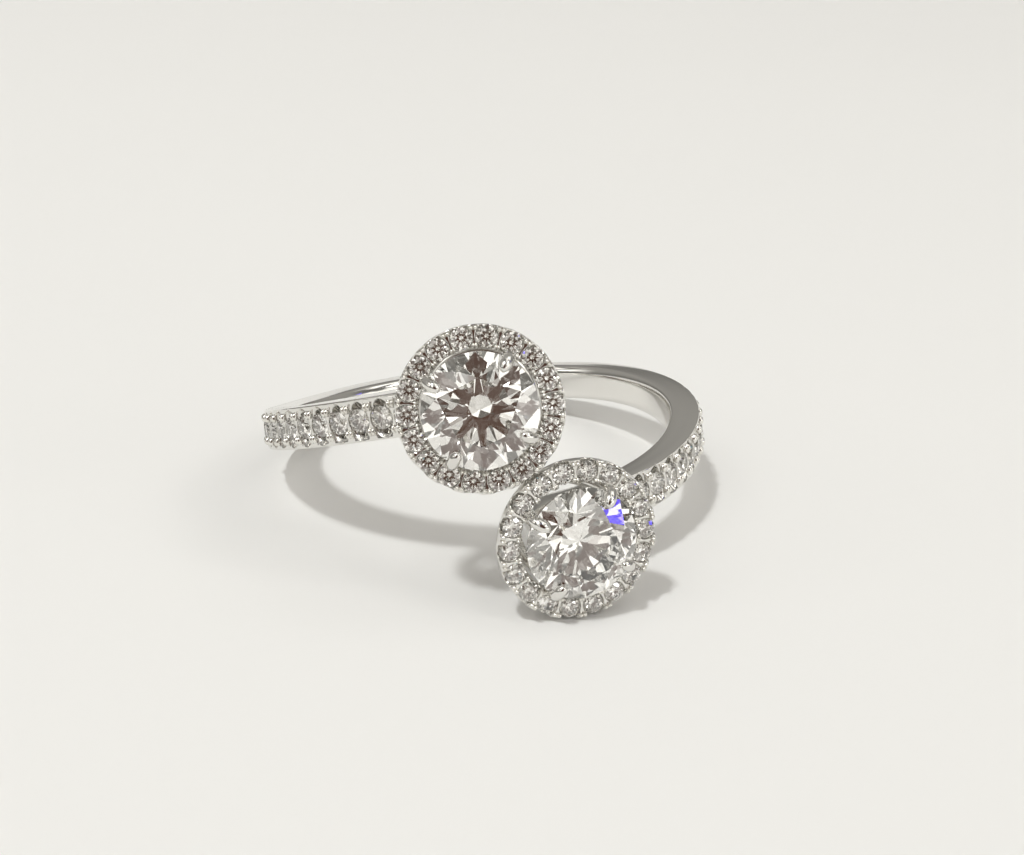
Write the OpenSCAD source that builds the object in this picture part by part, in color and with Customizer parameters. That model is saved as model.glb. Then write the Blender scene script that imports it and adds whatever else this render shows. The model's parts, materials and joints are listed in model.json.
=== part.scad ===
// Toi et moi ring: a bypass shank that carries two round haloed stones side by side.
// The ring lies on a table, on the rim of its lower halo and the back edge of its shank.
// The finger's axis, leaned over as the ring rests, passes through the origin.

/* [Finger] */
// Diameter of the finger hole
finger_d = 16.5; // [14:0.5:20]

/* [Shank] */
// Thickness of the shank, from the finger hole to its outer face
shank_t = 1.35; // [1.2:0.05:1.8]
// Width of the plain back of the shank, along the finger
back_w = 1.6; // [1.3:0.1:2.2]
// Width of the two shoulders that carry small stones
shoulder_w = 1.75; // [1.6:0.05:2.4]
// Angle from the middle of the back at which the shoulders start to climb
climb_start = 40; // [25:5:60]
// Angle from the middle of the back at which the climb would level out
climb_end = 190; // [185:5:220]

/* [Heads] */
// Angle round the finger from the ring's front to the axis of each head
head_turn = 8; // [7:0.5:10]
// Angle by which the two faces lean apart, along the finger
head_lean = 5; // [0:1:8]
// Height of the face of a halo above the outer face of the shank
head_h = 2.3; // [2.2:0.1:3]
// Thickness of a halo
halo_t = 0.8; // [0.7:0.05:1.2]
// Height of the straight part of a halo's outer side, under which it tapers in
halo_rim = 0.38; // [0.35:0.01:0.5]
// Depth by which the rims of the two halos are soldered into each other
halo_joint = 0.1; // [0.05:0.05:0.4]
// Width of metal left beside the stones at each rim of a halo
halo_edge = 0.045; // [0.035:0.005:0.1]
// Height of the base ring under each head
base_h = 0.55; // [0.4:0.05:0.8]
// Width of the wall of the base ring
base_wall = 0.6; // [0.4:0.05:0.8]

/* [Prongs] */
// Number of prongs round each main stone
prongs = 4; // [4:2:6]
// Diameter of the wire of a prong
prong_d = 0.56; // [0.45:0.05:0.7]
// Diameter of the rounded tip of a prong
tip_d = 0.66; // [0.55:0.05:0.8]
// Angle of the first prong, from the line across the finger
prong_turn = 57; // [0:1:89]

/* [Main stones] */
// Diameter of a main stone
main_d = 4.4; // [4:0.1:5]
// Height of the girdle of a main stone above the face of its halo
main_lift = 0.35; // [0.2:0.05:0.6]
// Open gap between the girdle of a main stone and its halo, seen from above
moat = 0.07; // [0.05:0.01:0.2]

/* [Small stones] */
// Diameter of a stone in the halos
halo_stone_d = 0.82; // [0.7:0.02:1]
// Diameter of a stone in the shoulders
shoulder_stone_d = 0.94; // [0.8:0.02:1.1]
// Gap between neighbouring small stones
stone_gap = 0.11; // [0.11:0.01:0.2]
// Angle from the middle of the back past which each shoulder carries stones
row_start = 85; // [70:5:110]
// Depth of the girdle of a small stone below the face of the metal
set_depth = 0.06; // [0.04:0.01:0.1]
// Depth of the scallop cut beside each small stone
scallop = 0.32; // [0.2:0.02:0.4]
// Diameter of the beads of metal between the small stones
bead_d = 0.25; // [0.2:0.01:0.3]
// Distance of a bead's centre from the rim of its halo
bead_inset = 0.13; // [0.12:0.01:0.15]
// Distance of a bead's centre from the edge of a shoulder
bead_margin = 0.38; // [0.3:0.02:0.5]

/* [Cut of the stones] */
// Diameter of the table, as a share of the stone's diameter
table_share = 0.58; // [0.53:0.01:0.64]
// Angle of the main facets of the crown
crown_angle = 34.5; // [32:0.5:36]
// Angle of the main facets of the pavilion
pavilion_angle = 40.8; // [40:0.2:42]
// Thickness of the girdle, as a share of the stone's diameter
girdle_share = 0.028; // [0.024:0.002:0.04]

/* [Rest] */
// Direction of the lean at rest, round the finger from the ring's front
rest_turn = 19; // [5:1:30]

/* [Hidden] */
// Clearance between a stone and the metal that holds it
fit_gap = 0.025;
// Length by which a cutting tool passes the surface that it cuts
over = 0.5;
// Number of sides of a wide, a middling and a narrow round form
sides_wide = 180;
sides_mid = 72;
sides_fine = 24;
// Number of stations of the shank's path, and how much closer they stand at its two ends
stations = 120;
crowding = 0.35;
// Angle by which each end of the shank stops short of the ring's front
end_gap = 1;
// Angle over which each end of the shank is rounded off
nose = 7;
// Width of the rounded tip of the shank, as a share of its full width
nose_tip = 0.3;
// Angles between which the shank widens from its back to a shoulder
widen_start = 60;
widen_end = 110;
// Distance of the middle of the base ring's wall inside the edge of the main stone
base_inset = 0.25;
// Share of the base ring's height that is sunk into the shank
base_sink = 1 / 3;
// Clearance along the shoulder between the base ring and the first small stone
base_clear = 0.2;
// Diameter of a prong's elbow, as a share of its wire
elbow = 1.06;
// Places of a prong's elbow outside the girdle, and of its tip inside and above the girdle,
// as shares of the wire's diameter
elbow_out = 0.15;
tip_in = 0.3;
tip_up = 0.5;
// Height above the metal's face up to which a small stone's seat is open; prongs pass above
seat_open = 0.16;
// Width by which a halo's outer side tapers in below its rim
halo_taper = 0.25;
// Radius of the drilled hole below a small stone, as a share of the stone's radius
drill_share = 0.34;
// Depth of the drilled holes in a shoulder, as a share of its thickness
drill_depth = 0.6;
// Radius of the scallop beside a small stone, as a share of the stone's diameter
scallop_r = 0.38;
// Diameter of a bead on a shoulder, as a share of a bead on a halo
shoulder_bead = 1.2;

finger_r = finger_d / 2;
shank_r = finger_r + shank_t;
face_r = shank_r + head_h;
main_r = main_d / 2;
halo_in = main_r + moat;
halo_r = halo_in + halo_stone_d + 2 * halo_edge;
halo_row_r = (halo_in + halo_r) / 2;
halo_count = floor(360 * halo_row_r * PI / 180 / (halo_stone_d + stone_gap));
base_r = main_r - base_inset;
base_out = base_r + base_wall / 2;
head_angle = 180 - head_turn;

// Offset of the middle of a halo's face along the finger, so that the two rims meet
rim_x = (face_r - halo_rim) * sin(head_turn);
head_off = sqrt(pow(halo_r - halo_joint / 2, 2) - pow(rim_x, 2)) + halo_rim * sin(head_lean);
// Offset of the shank under the head, on the head's leaning axis
shoulder_off = head_off - head_h * sin(head_lean);

// Share of the climb that is done at angle a from the middle of the back
function climb(a) =
    a < climb_start ? 0 : pow(sin(90 * (a - climb_start) / (climb_end - climb_start)), 2);
climb_h = shoulder_off / climb(head_angle);
// Place of the middle of the shank along the finger; the right side goes down
function path_z(a) = -sign(a) * climb_h * climb(abs(a));
// Slope of the path at angle a, as an angle
function slope(a) = atan((path_z(a + 0.5) - path_z(a - 0.5)) / (shank_r * PI / 180));
function ease(t) = t < 0 ? 0 : t > 1 ? 1 : t * t * (3 - 2 * t);
// Width at angle a, rounded off in an arc at each end
function arc(t) = t < 0 ? 1 : sqrt(1 - t * t * (1 - nose_tip * nose_tip));
function shank_w(a) = arc((abs(a) - 180 + end_gap + nose) / nose) * (back_w
    + (shoulder_w - back_w) * ease((abs(a) - widen_start) / (widen_end - widen_start)));
// Point at angle a round the finger from the back, at radius r and place z along it
function around(a, r, z) = [r * sin(a), r * cos(a), z];

// Last and first angle of a shoulder's row of stones, clear of the base of the head
row_step = (shoulder_stone_d + stone_gap) / shank_r * 180 / PI;
row_end = head_angle - asin((base_out + base_clear + shoulder_stone_d / 2) / shank_r);
row_count = floor((row_end - row_start) / row_step) + 1;
function row_angle(i) = row_end - i * row_step;

// Resting lean: the up direction leans by t toward the head, in the direction rest_turn
function up_at(t) = [sin(rest_turn) * sin(t), -cos(rest_turn) * sin(t), cos(t)];
head_axis = [cos(head_lean) * sin(head_turn), -cos(head_lean) * cos(head_turn),
    -sin(head_lean)];
rim_foot = [face_r * sin(head_turn), -face_r * cos(head_turn), -head_off]
    - halo_rim * head_axis;
// Lowest point of the foot of the lower halo's rim, and of the shank's back edge
function rim_low(u) = u * rim_foot - halo_r * sqrt(1 - pow(u * head_axis, 2));
function back_low(t) = -shank_r * sin(t) - back_w / 2 * cos(t);
function level(t) = rim_low(up_at(t)) - back_low(t);
function solve(lo, hi, n) = n == 0 ? (lo + hi) / 2
    : level((lo + hi) / 2) < 0 ? solve((lo + hi) / 2, hi, n - 1)
    : solve(lo, (lo + hi) / 2, n - 1);
rest_lean = solve(0, 45, 40);

// Profile of a brilliant of radius r, grown by g: [radius, height] from table to culet
function table_r(r) = r * table_share;
function crown_h(r) = (r - table_r(r)) * tan(crown_angle);
function pavilion_h(r) = r * tan(pavilion_angle);
function girdle_h(r) = r * girdle_share;
// Star facets end, and lower halves begin, at these shares of the radius
star_share = 0.76;
lower_share = 0.24;
// Number of main facets, and the angle that each of them takes
mains = 8;
sector = 360 / mains;
function star_h(r) = crown_h(r) * (1 - star_share * cos(sector / 2)) / (1 - table_share);
function lower_h(r) = pavilion_h(r) * (1 - lower_share * cos(sector / 2));
function outline(r, g) = [
    [0, girdle_h(r) + crown_h(r) + g],
    [table_r(r) + g / 2, girdle_h(r) + crown_h(r) + g],
    [star_share * r + g, girdle_h(r) + star_h(r) + g],
    [r + g, girdle_h(r) + g / 2],
    [r + g, -girdle_h(r) - g / 2],
    [lower_share * r + g, -girdle_h(r) - lower_h(r) - g],
    [0, -girdle_h(r) - pavilion_h(r) - 1.5 * g]];

// Places what it holds as the ring lies at rest
module resting() {
    rotate([0, 0, rest_turn])
        rotate([-rest_lean, 0, 0])
            rotate([0, 0, -rest_turn])
                children();
}

// Places what it holds on a head: +Z out of the face, the face of the halo at z = 0.
// A turn of 0 is the lower head on the right, and 180 the upper head on the left.
module on_head(turn) {
    rotate([0, turn, 0])
        translate([face_r * sin(head_turn), -face_r * cos(head_turn), -head_off])
            rotate([0, 0, head_turn])
                rotate([90 + head_lean, 0, 0])
                    children();
}

// Places what it holds on the outer face of a shoulder, at angle a from the back:
// +Z out of the face, +X along the path toward the head
module on_shoulder(turn, a) {
    rotate([0, turn, 0])
        rotate([0, 0, -a])
            translate([0, shank_r, path_z(a)])
                rotate([-90, 0, 0])
                    rotate([0, 0, -slope(a)])
                        children();
}

// Round brilliant with its girdle at z = 0 and its table up.
// Each half facet is cut by the girdle in n short edges.
module brilliant(d, n) {
    r = d / 2;
    g = girdle_h(r);
    last = mains - 1;
    count = 2 * mains * n;
    // Slopes of the upper and lower half facets across the middle of their chord
    half = cos(sector / 4);
    up_slope = star_h(r) / (half * r * (1 - star_share));
    low_slope = lower_h(r) / (half * r * (1 - lower_share));
    function bow(j) = r * (cos((j % n) * 360 / count - sector / 4) - half);
    function at(q, radius, z) = [radius * cos(q), radius * sin(q), z];
    table = [for (k = [0:last]) at(sector * k, table_r(r), g + crown_h(r))];
    stars = [for (k = [0:last]) at(sector * (k + 0.5), star_share * r, g + star_h(r))];
    upper = [for (j = [0:count - 1]) at(j * 360 / count, r, g - up_slope * bow(j))];
    lower = [for (j = [0:count - 1]) at(j * 360 / count, r, -g + low_slope * bow(j))];
    halves = [for (k = [0:last]) at(sector * (k + 0.5), lower_share * r, -g - lower_h(r))];
    culet = [[0, 0, -g - pavilion_h(r)]];
    // First index of each group of points
    s0 = mains;
    u0 = s0 + mains;
    l0 = u0 + count;
    h0 = l0 + count;
    c0 = h0 + mains;
    function next(k) = (k + 1) % mains;
    function prev(k) = (k + last) % mains;
    function wrap(j) = (j + count) % count;
    // The girdle's points along the half facet before or after main facet k
    function after(k, base) = [for (j = [0:n]) base + wrap(2 * n * k + j)];
    function before(k, base) = [for (j = [0:n]) base + wrap(2 * n * k - n + j)];
    function turned(list) = [for (i = [len(list) - 1:-1:0]) list[i]];
    polyhedron(
        points = concat(table, stars, upper, lower, halves, culet),
        faces = concat(
            [[for (k = [last:-1:0]) k]],
            [for (k = [0:last]) [k, next(k), s0 + k]],
            [for (k = [0:last]) [k, s0 + k, u0 + 2 * n * k, s0 + prev(k)]],
            [for (k = [0:last]) concat([s0 + k], turned(after(k, u0)))],
            [for (k = [0:last]) concat([s0 + prev(k)], turned(before(k, u0)))],
            [for (j = [0:count - 1]) [u0 + j, u0 + wrap(j + 1), l0 + wrap(j + 1), l0 + j]],
            [for (k = [0:last]) concat([h0 + k], after(k, l0))],
            [for (k = [0:last]) concat([h0 + prev(k)], before(k, l0))],
            [for (k = [0:last]) [c0, h0 + prev(k), l0 + 2 * n * k, h0 + k]]),
        convexity = 2);
}

// Seat of a small stone: its outline grown by the clearance, open above, drilled below
module small_seat(d, drill) {
    r = d / 2;
    shape = outline(r, fit_gap);
    top = set_depth + seat_open;
    drill_r = r * drill_share;
    translate([0, 0, -set_depth])
        rotate_extrude($fn = sides_fine)
            polygon([[0, top], [shape[3][0], top], shape[3], shape[4],
                [drill_r, -girdle_h(r) - pavilion_h(r) * (1 - drill_share) - fit_gap],
                [drill_r, -drill], [0, -drill]]);
}

// Slab that follows the shank's path, wider than the shank in the radial direction
module path_slab() {
    r_in = finger_r - over;
    r_out = shank_r + over;
    // The stations stand closer together toward the two ends
    function spread(t) = t * (1 + crowding - crowding * t * t);
    rows = [for (i = [0:stations]) (180 - end_gap) * spread(2 * i / stations - 1)];
    function corners(a) = [
        around(a, r_in, path_z(a) - shank_w(a) / 2),
        around(a, r_out, path_z(a) - shank_w(a) / 2),
        around(a, r_out, path_z(a) + shank_w(a) / 2),
        around(a, r_in, path_z(a) + shank_w(a) / 2)];
    polyhedron(
        points = [for (a = rows) each corners(a)],
        faces = concat(
            [[0, 1, 2, 3]],
            [[for (c = [3:-1:0]) 4 * stations + c]],
            [for (i = [0:stations - 1], c = [0:3])
                [4 * i + c, 4 * i + 4 + c, 4 * i + (c + 1) % 4]],
            [for (i = [0:stations - 1], c = [0:3])
                [4 * i + (c + 1) % 4, 4 * i + 4 + c, 4 * i + 4 + (c + 1) % 4]]),
        convexity = 6);
}

// Shank: the band and its beads, with seats and scallops along both shoulders
module shank() {
    difference() {
        union() {
            shank_band();
            for (turn = [0, 180])
                shoulder_beads(turn);
        }
        for (turn = [0, 180])
            for (i = [0:row_count - 1])
                on_shoulder(turn, row_angle(i)) {
                    small_seat(shoulder_stone_d, drill_depth * shank_t);
                    scallop_cut(shoulder_stone_d, shoulder_w + 2 * over);
                }
    }
}

// Pairs of beads before, between and after the stones of a shoulder
module shoulder_beads(turn) {
    for (i = [0:row_count])
        on_shoulder(turn, row_angle(i - 0.5))
            for (side = [-1, 1])
                translate([0, side * (shoulder_w / 2 - bead_margin), 0])
                    sphere(d = shoulder_bead * bead_d, $fn = sides_fine);
}

// Plain band of the shank; the seam of the finger hole's wall is turned to the open front
module shank_band() {
    tube_l = 2 * climb_h + shoulder_w + 2 * over;
    intersection() {
        difference() {
            cylinder(r = shank_r, h = tube_l, center = true, $fn = sides_wide);
            rotate([0, 0, -90])
                cylinder(r = finger_r, h = tube_l + 2 * over, center = true, $fn = sides_wide);
        }
        path_slab();
    }
}

// Round-bottomed cut across the metal beside a small stone, centred on the stone
module scallop_cut(d, length) {
    r = scallop_r * d;
    translate([0, 0, r - scallop])
        rotate([90, 0, 0])
            cylinder(r = r, h = length, center = true, $fn = sides_fine);
}

// Wire of a prong, from the base ring to the tip that lies on the crown
module prong() {
    foot = [base_r, 0, -head_h];
    side = [main_r + elbow_out * prong_d, 0, main_lift];
    tip = [main_r - tip_in * prong_d, 0, main_lift + tip_up * prong_d];
    rod(foot, side, prong_d / 2);
    translate(side)
        sphere(d = elbow * prong_d, $fn = sides_fine);
    rod(side, tip, prong_d / 2);
    translate(tip)
        sphere(d = tip_d, $fn = sides_fine);
}

// Round rod of radius r from point a to point b
module rod(a, b, r) {
    d = b - a;
    translate(a)
        rotate([0, acos(d[2] / norm(d)), atan2(d[1], d[0])])
            cylinder(r = r, h = norm(d), $fn = sides_fine);
}

// Halo's plate: a ring with a straight rim and a tapered underside, and a scallop
// beside each of its small stones
module halo_plate() {
    difference() {
        rotate_extrude($fn = sides_mid)
            polygon([[halo_in, 0], [halo_r, 0], [halo_r, -halo_rim],
                [halo_r - halo_taper, -halo_t], [halo_in, -halo_t]]);
        for (i = [0:halo_count - 1])
            rotate([0, 0, 360 * (i + 0.5) / halo_count])
                translate([0, -halo_row_r, 0])
                    scallop_cut(halo_stone_d, halo_r - halo_in + 2 * over);
    }
    for (i = [0:halo_count - 1], r = [halo_in + bead_inset, halo_r - bead_inset])
        rotate([0, 0, 360 * i / halo_count])
            translate([0, -r, 0])
                sphere(d = bead_d, $fn = sides_fine);
}

// Metal of one head: halo, prongs and base ring, with the seats cut out of them
module head_metal() {
    difference() {
        union() {
            halo_plate();
            for (i = [0:prongs - 1])
                rotate([0, 0, prong_turn + 360 * i / prongs])
                    prong();
            translate([0, 0, -head_h - base_sink * base_h])
                difference() {
                    cylinder(r = base_out, h = base_h, $fn = sides_mid);
                    translate([0, 0, -over])
                        cylinder(r = base_out - base_wall, h = base_h + 2 * over, $fn = sides_mid);
                }
        }
        translate([0, 0, main_lift])
            rotate_extrude($fn = sides_mid)
                polygon(outline(main_r, fit_gap));
        for (i = [0:halo_count - 1])
            rotate([0, 0, 360 * (i + 0.5) / halo_count])
                translate([0, -halo_row_r, 0])
                    small_seat(halo_stone_d, halo_t + over);
    }
}

module ring_metal() {
    color("silver")
        resting() {
            shank();
            for (turn = [0, 180])
                on_head(turn)
                    head_metal();
        }
}

module main_stone(turn) {
    color("white")
        resting()
            on_head(turn)
                translate([0, 0, main_lift])
                    brilliant(main_d, 3);
}

module halo_stones(turn) {
    color("whitesmoke")
        resting()
            on_head(turn)
                for (i = [0:halo_count - 1])
                    rotate([0, 0, 360 * (i + 0.5) / halo_count])
                        translate([0, -halo_row_r, -set_depth])
                            brilliant(halo_stone_d, 1);
}

module shoulder_stones(turn) {
    color("ghostwhite")
        resting()
            for (i = [0:row_count - 1])
                on_shoulder(turn, row_angle(i))
                    translate([0, 0, -set_depth])
                        brilliant(shoulder_stone_d, 1);
}

ring_metal();
main_stone(180);  // main_stone_upper
main_stone(0);  // main_stone_lower
halo_stones(180);  // halo_stones_upper
halo_stones(0);  // halo_stones_lower
shoulder_stones(180);  // shoulder_stones_left
shoulder_stones(0);  // shoulder_stones_right
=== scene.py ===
"""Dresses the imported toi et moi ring: polished white gold, two haloed main stones and the
small stones of the halos and shoulders, on a pale floor under soft light.

The metal is worked out again here with rounded edges, split beads and scalloped rims, in
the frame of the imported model. The cut stones stay as packed, under a new material.
"""
import json
import math

import bpy
import numpy as np
from bpy.props import FloatProperty, FloatVectorProperty, IntProperty, PointerProperty
from mathutils import Matrix, Vector


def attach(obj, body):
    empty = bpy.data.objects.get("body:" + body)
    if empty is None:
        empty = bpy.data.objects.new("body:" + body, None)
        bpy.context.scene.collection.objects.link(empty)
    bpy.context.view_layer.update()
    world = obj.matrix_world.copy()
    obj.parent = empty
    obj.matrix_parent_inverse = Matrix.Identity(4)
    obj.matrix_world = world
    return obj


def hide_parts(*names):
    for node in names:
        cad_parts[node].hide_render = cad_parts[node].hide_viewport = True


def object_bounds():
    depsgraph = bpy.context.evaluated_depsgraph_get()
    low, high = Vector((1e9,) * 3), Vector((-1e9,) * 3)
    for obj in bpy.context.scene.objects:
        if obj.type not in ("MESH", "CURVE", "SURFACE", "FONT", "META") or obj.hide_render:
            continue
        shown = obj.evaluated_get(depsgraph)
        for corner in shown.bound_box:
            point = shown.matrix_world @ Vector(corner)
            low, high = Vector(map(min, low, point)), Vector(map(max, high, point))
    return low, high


bl_info = {
    "name": "Toi et Moi Ring",
    "version": (1, 0, 0),
    "blender": (4, 5, 0),
    "location": "View3D > Sidebar > Ring",
    "description": "Finish for a bypass ring with two haloed stones",
    "category": "Object",
}

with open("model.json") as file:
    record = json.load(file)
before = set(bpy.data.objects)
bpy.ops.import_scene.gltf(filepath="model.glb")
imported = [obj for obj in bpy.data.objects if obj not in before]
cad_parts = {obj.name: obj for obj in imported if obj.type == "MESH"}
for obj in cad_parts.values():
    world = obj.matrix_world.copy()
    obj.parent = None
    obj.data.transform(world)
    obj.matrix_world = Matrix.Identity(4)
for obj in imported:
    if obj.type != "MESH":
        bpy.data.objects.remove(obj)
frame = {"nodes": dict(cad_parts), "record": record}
cad_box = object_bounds()

MM = 0.001
MOUNT = next(m for m in frame["record"]["mounts"] if m["name"] == "finger_hole")
FINGER_R = MOUNT["dims"]["r_mm"] * MM
FINGER_AXIS = np.array(MOUNT["axis"]) / np.linalg.norm(MOUNT["axis"])
METAL = "ring_metal"
MAIN_STONES = ("main_stone_upper", "main_stone_lower")
SMALL_STONES = ("halo_stones_upper", "halo_stones_lower",
                "shoulder_stones_left", "shoulder_stones_right")
# Turns about the ring's axis of symmetry that place the lower and the upper head
HEADS = {"lower": 0.0, "upper": 180.0}
SIDES = {"right": 0.0, "left": 180.0}


def length(name, description, millimetres):
    """A size property, stated in millimetres and kept in metres."""
    return FloatProperty(name=name, description=description, default=millimetres * MM,
                         min=0.0, unit="LENGTH", precision=5)


def angle(name, description, degrees):
    """An angle property, stated in degrees and kept in radians."""
    return FloatProperty(name=name, description=description,
                         default=math.radians(degrees), subtype="ANGLE")


def share(name, description, value):
    """A plain number property, such as a share or a strength."""
    return FloatProperty(name=name, description=description, default=value)


def colour(name, description, value):
    """A colour property."""
    return FloatVectorProperty(name=name, description=description, default=value,
                               size=3, min=0.0, max=1.0, subtype="COLOR")


class ShankSizes(bpy.types.PropertyGroup):
    wall: length("Wall", "Thickness of the shank", 1.35)
    back_w: length("Back width", "Width of the plain back along the finger", 1.6)
    shoulder_w: length("Shoulder width", "Width of the shoulders along the finger", 1.75)
    climb_start: angle("Climb start", "Angle from the back where the climb starts", 40)
    climb_end: angle("Climb end", "Angle where the climb would level out", 190)
    widen_start: angle("Widening start", "Angle where the shank starts to widen", 60)
    widen_end: angle("Widening end", "Angle where the shoulder has its width", 110)
    end_gap: angle("End gap", "Angle by which each end stops short of the front", 1)
    nose: angle("Nose", "Angle over which each end is rounded off", 7)
    nose_tip: share("Nose tip", "Share of the width left at the very end", 0.3)
    edge: length("Outer edge", "Radius of the outer edges", 0.06)
    comfort_w: length("Comfort width", "Width over which the hole's wall curves away", 0.45)
    comfort_t: length("Comfort depth", "Depth by which the hole's wall curves away", 0.2)


class HeadSizes(bpy.types.PropertyGroup):
    turn: angle("Turn", "Angle round the finger from the front to a head's axis", 8)
    lean: angle("Lean", "Angle by which the faces lean apart", 5)
    height: length("Height", "Height of a halo's face above the shank", 2.3)
    halo_t: length("Halo thickness", "Thickness of a halo", 0.8)
    halo_rim: length("Halo rim", "Straight part of a halo's outer side", 0.38)
    halo_taper: length("Halo taper", "Width by which the side tapers in below", 0.25)
    joint: length("Joint", "Depth by which the halos' rims meet", 0.1)
    halo_edge: length("Halo edge", "Metal beside the stones at each rim", 0.045)
    base_h: length("Base height", "Height of the base ring", 0.55)
    base_wall: length("Base wall", "Width of the wall of the base ring", 0.6)
    base_inset: length("Base inset", "Base ring's wall inside the stone's edge", 0.25)
    base_sink: share("Base sink", "Share of the base ring sunk in the shank", 1 / 3)
    edge: length("Edge", "Radius of the halo's edges", 0.035)
    base_edge: length("Base edge", "Radius of the base ring's edges", 0.12)


class StoneSizes(bpy.types.PropertyGroup):
    main_d: length("Main stone", "Diameter of a main stone", 4.4)
    main_lift: length("Main lift", "Girdle of a main stone above the halo's face", 0.35)
    moat: length("Moat", "Gap between a main stone and its halo", 0.07)
    halo_d: length("Halo stone", "Diameter of a halo's stone", 0.82)
    shoulder_d: length("Shoulder stone", "Diameter of a shoulder's stone", 0.94)
    gap: length("Gap", "Gap between neighbouring small stones", 0.11)
    base_clear: length("Base clearance", "Gap from the base ring to the first stone", 0.2)
    row_start: angle("Row start", "Angle from the back where the rows begin", 85)
    set_depth: length("Set depth", "Girdle of a small stone below the metal", 0.06)
    fit_gap: length("Fit", "Clearance between a stone and its seat", 0.025)
    girdle: share("Girdle", "Half thickness of a girdle as a share of the radius", 0.028)
    crown: angle("Crown", "Angle of the crown's main facets", 34.5)
    pavilion: angle("Pavilion", "Angle of the pavilion's main facets", 40.8)
    halo_scallop: length("Halo scallop", "Depth of the scallop beside a halo's stone", 0.32)
    shoulder_scallop: length("Shoulder scallop", "Depth beside a shoulder's stone", 0.28)
    scallop_r: share("Scallop radius", "Scallop's radius as a share of the stone", 0.38)


class ProngSizes(bpy.types.PropertyGroup):
    count: IntProperty(name="Prongs", description="Prongs round a main stone", default=4)
    wire: length("Wire", "Diameter of a prong's wire", 0.56)
    tip: length("Tip", "Diameter of a prong's claw where its point starts", 0.5)
    turn: angle("First prong", "Angle of the first prong across the finger", 57)
    elbow_out: share("Elbow out", "Elbow outside the girdle, in wires", 0.15)
    tip_in: share("Tip in", "Tip inside the girdle, in wires", 0.3)
    tip_up: share("Tip up", "Tip above the girdle, in wires", 0.5)
    bead: length("Halo bead", "Width over a pair of beads on a halo", 0.29)
    bead_inset: length("Bead inset", "Bead's middle from the rim of the halo", 0.13)
    shoulder_bead: length("Shoulder bead", "Width over a pair on a shoulder", 0.34)
    bead_margin: length("Bead margin", "Bead's middle from a shoulder's edge", 0.38)


class Finishes(bpy.types.PropertyGroup):
    gold: colour("White gold", "Colour of the polished metal", (0.80, 0.782, 0.735))
    gold_shade: colour("White gold, worn", "Colour where it is rubbed", (0.72, 0.70, 0.65))
    # Painted shade: the darker gold mixed in deep in the cuts and on the face beside the stones
    gold_painted_shade: colour("White gold, sunk", "Colour down in the cuts", (0.33, 0.315, 0.28))
    polish: share("Polish", "Roughness of the polished metal", 0.12)
    # Painted highlight: the beads' gold is lighter than the rest to stand in for their bright
    # highlights
    bead: colour("Bead", "Colour of the burnished beads", (0.88, 0.865, 0.83))
    bead_polish: share("Bead polish", "Roughness of the beads", 0.2)
    diamond: colour("Diamond", "Body colour of the stones", (1.0, 0.995, 0.97))
    # Painted shade: the stones' darker cells stand for the shade that facets throw on each other
    main_shade: colour("Main stone, shaded", "Colour of its darker grains",
                       (0.975, 0.965, 0.93))
    small_shade: colour("Small stone, shaded", "Colour of its darker grains",
                        (0.70, 0.685, 0.64))
    ior: share("Diamond IOR", "Index of refraction of the stones", 2.417)


class StudioSizes(bpy.types.PropertyGroup):
    floor: colour("Floor", "Colour of the floor", (0.86, 0.855, 0.84))
    camera_at: FloatVectorProperty(
        name="Camera", description="Place of the camera", size=3, subtype="TRANSLATION",
        unit="LENGTH", default=(-10.60 * MM, -62.71 * MM, 27.76 * MM))
    camera_azimuth: angle("Camera azimuth", "Direction of view, from +Y to +X", 10.76)
    camera_dip: angle("Camera dip", "Angle of view below the horizon", 23.88)
    camera_roll: angle("Camera roll", "Roll of the camera", 2.05)
    lens: share("Lens", "Focal length in millimetres on a 36 mm sensor", 54.43)


class RingProperties(bpy.types.PropertyGroup):
    shank: PointerProperty(type=ShankSizes, name="Shank", description="The shank")
    head: PointerProperty(type=HeadSizes, name="Heads", description="The two heads")
    stone: PointerProperty(type=StoneSizes, name="Stones", description="The stones")
    prong: PointerProperty(type=ProngSizes, name="Prongs", description="Prongs and beads")
    finish: PointerProperty(type=Finishes, name="Finishes", description="The finishes")
    studio: PointerProperty(type=StudioSizes, name="Studio", description="The stage")


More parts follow.
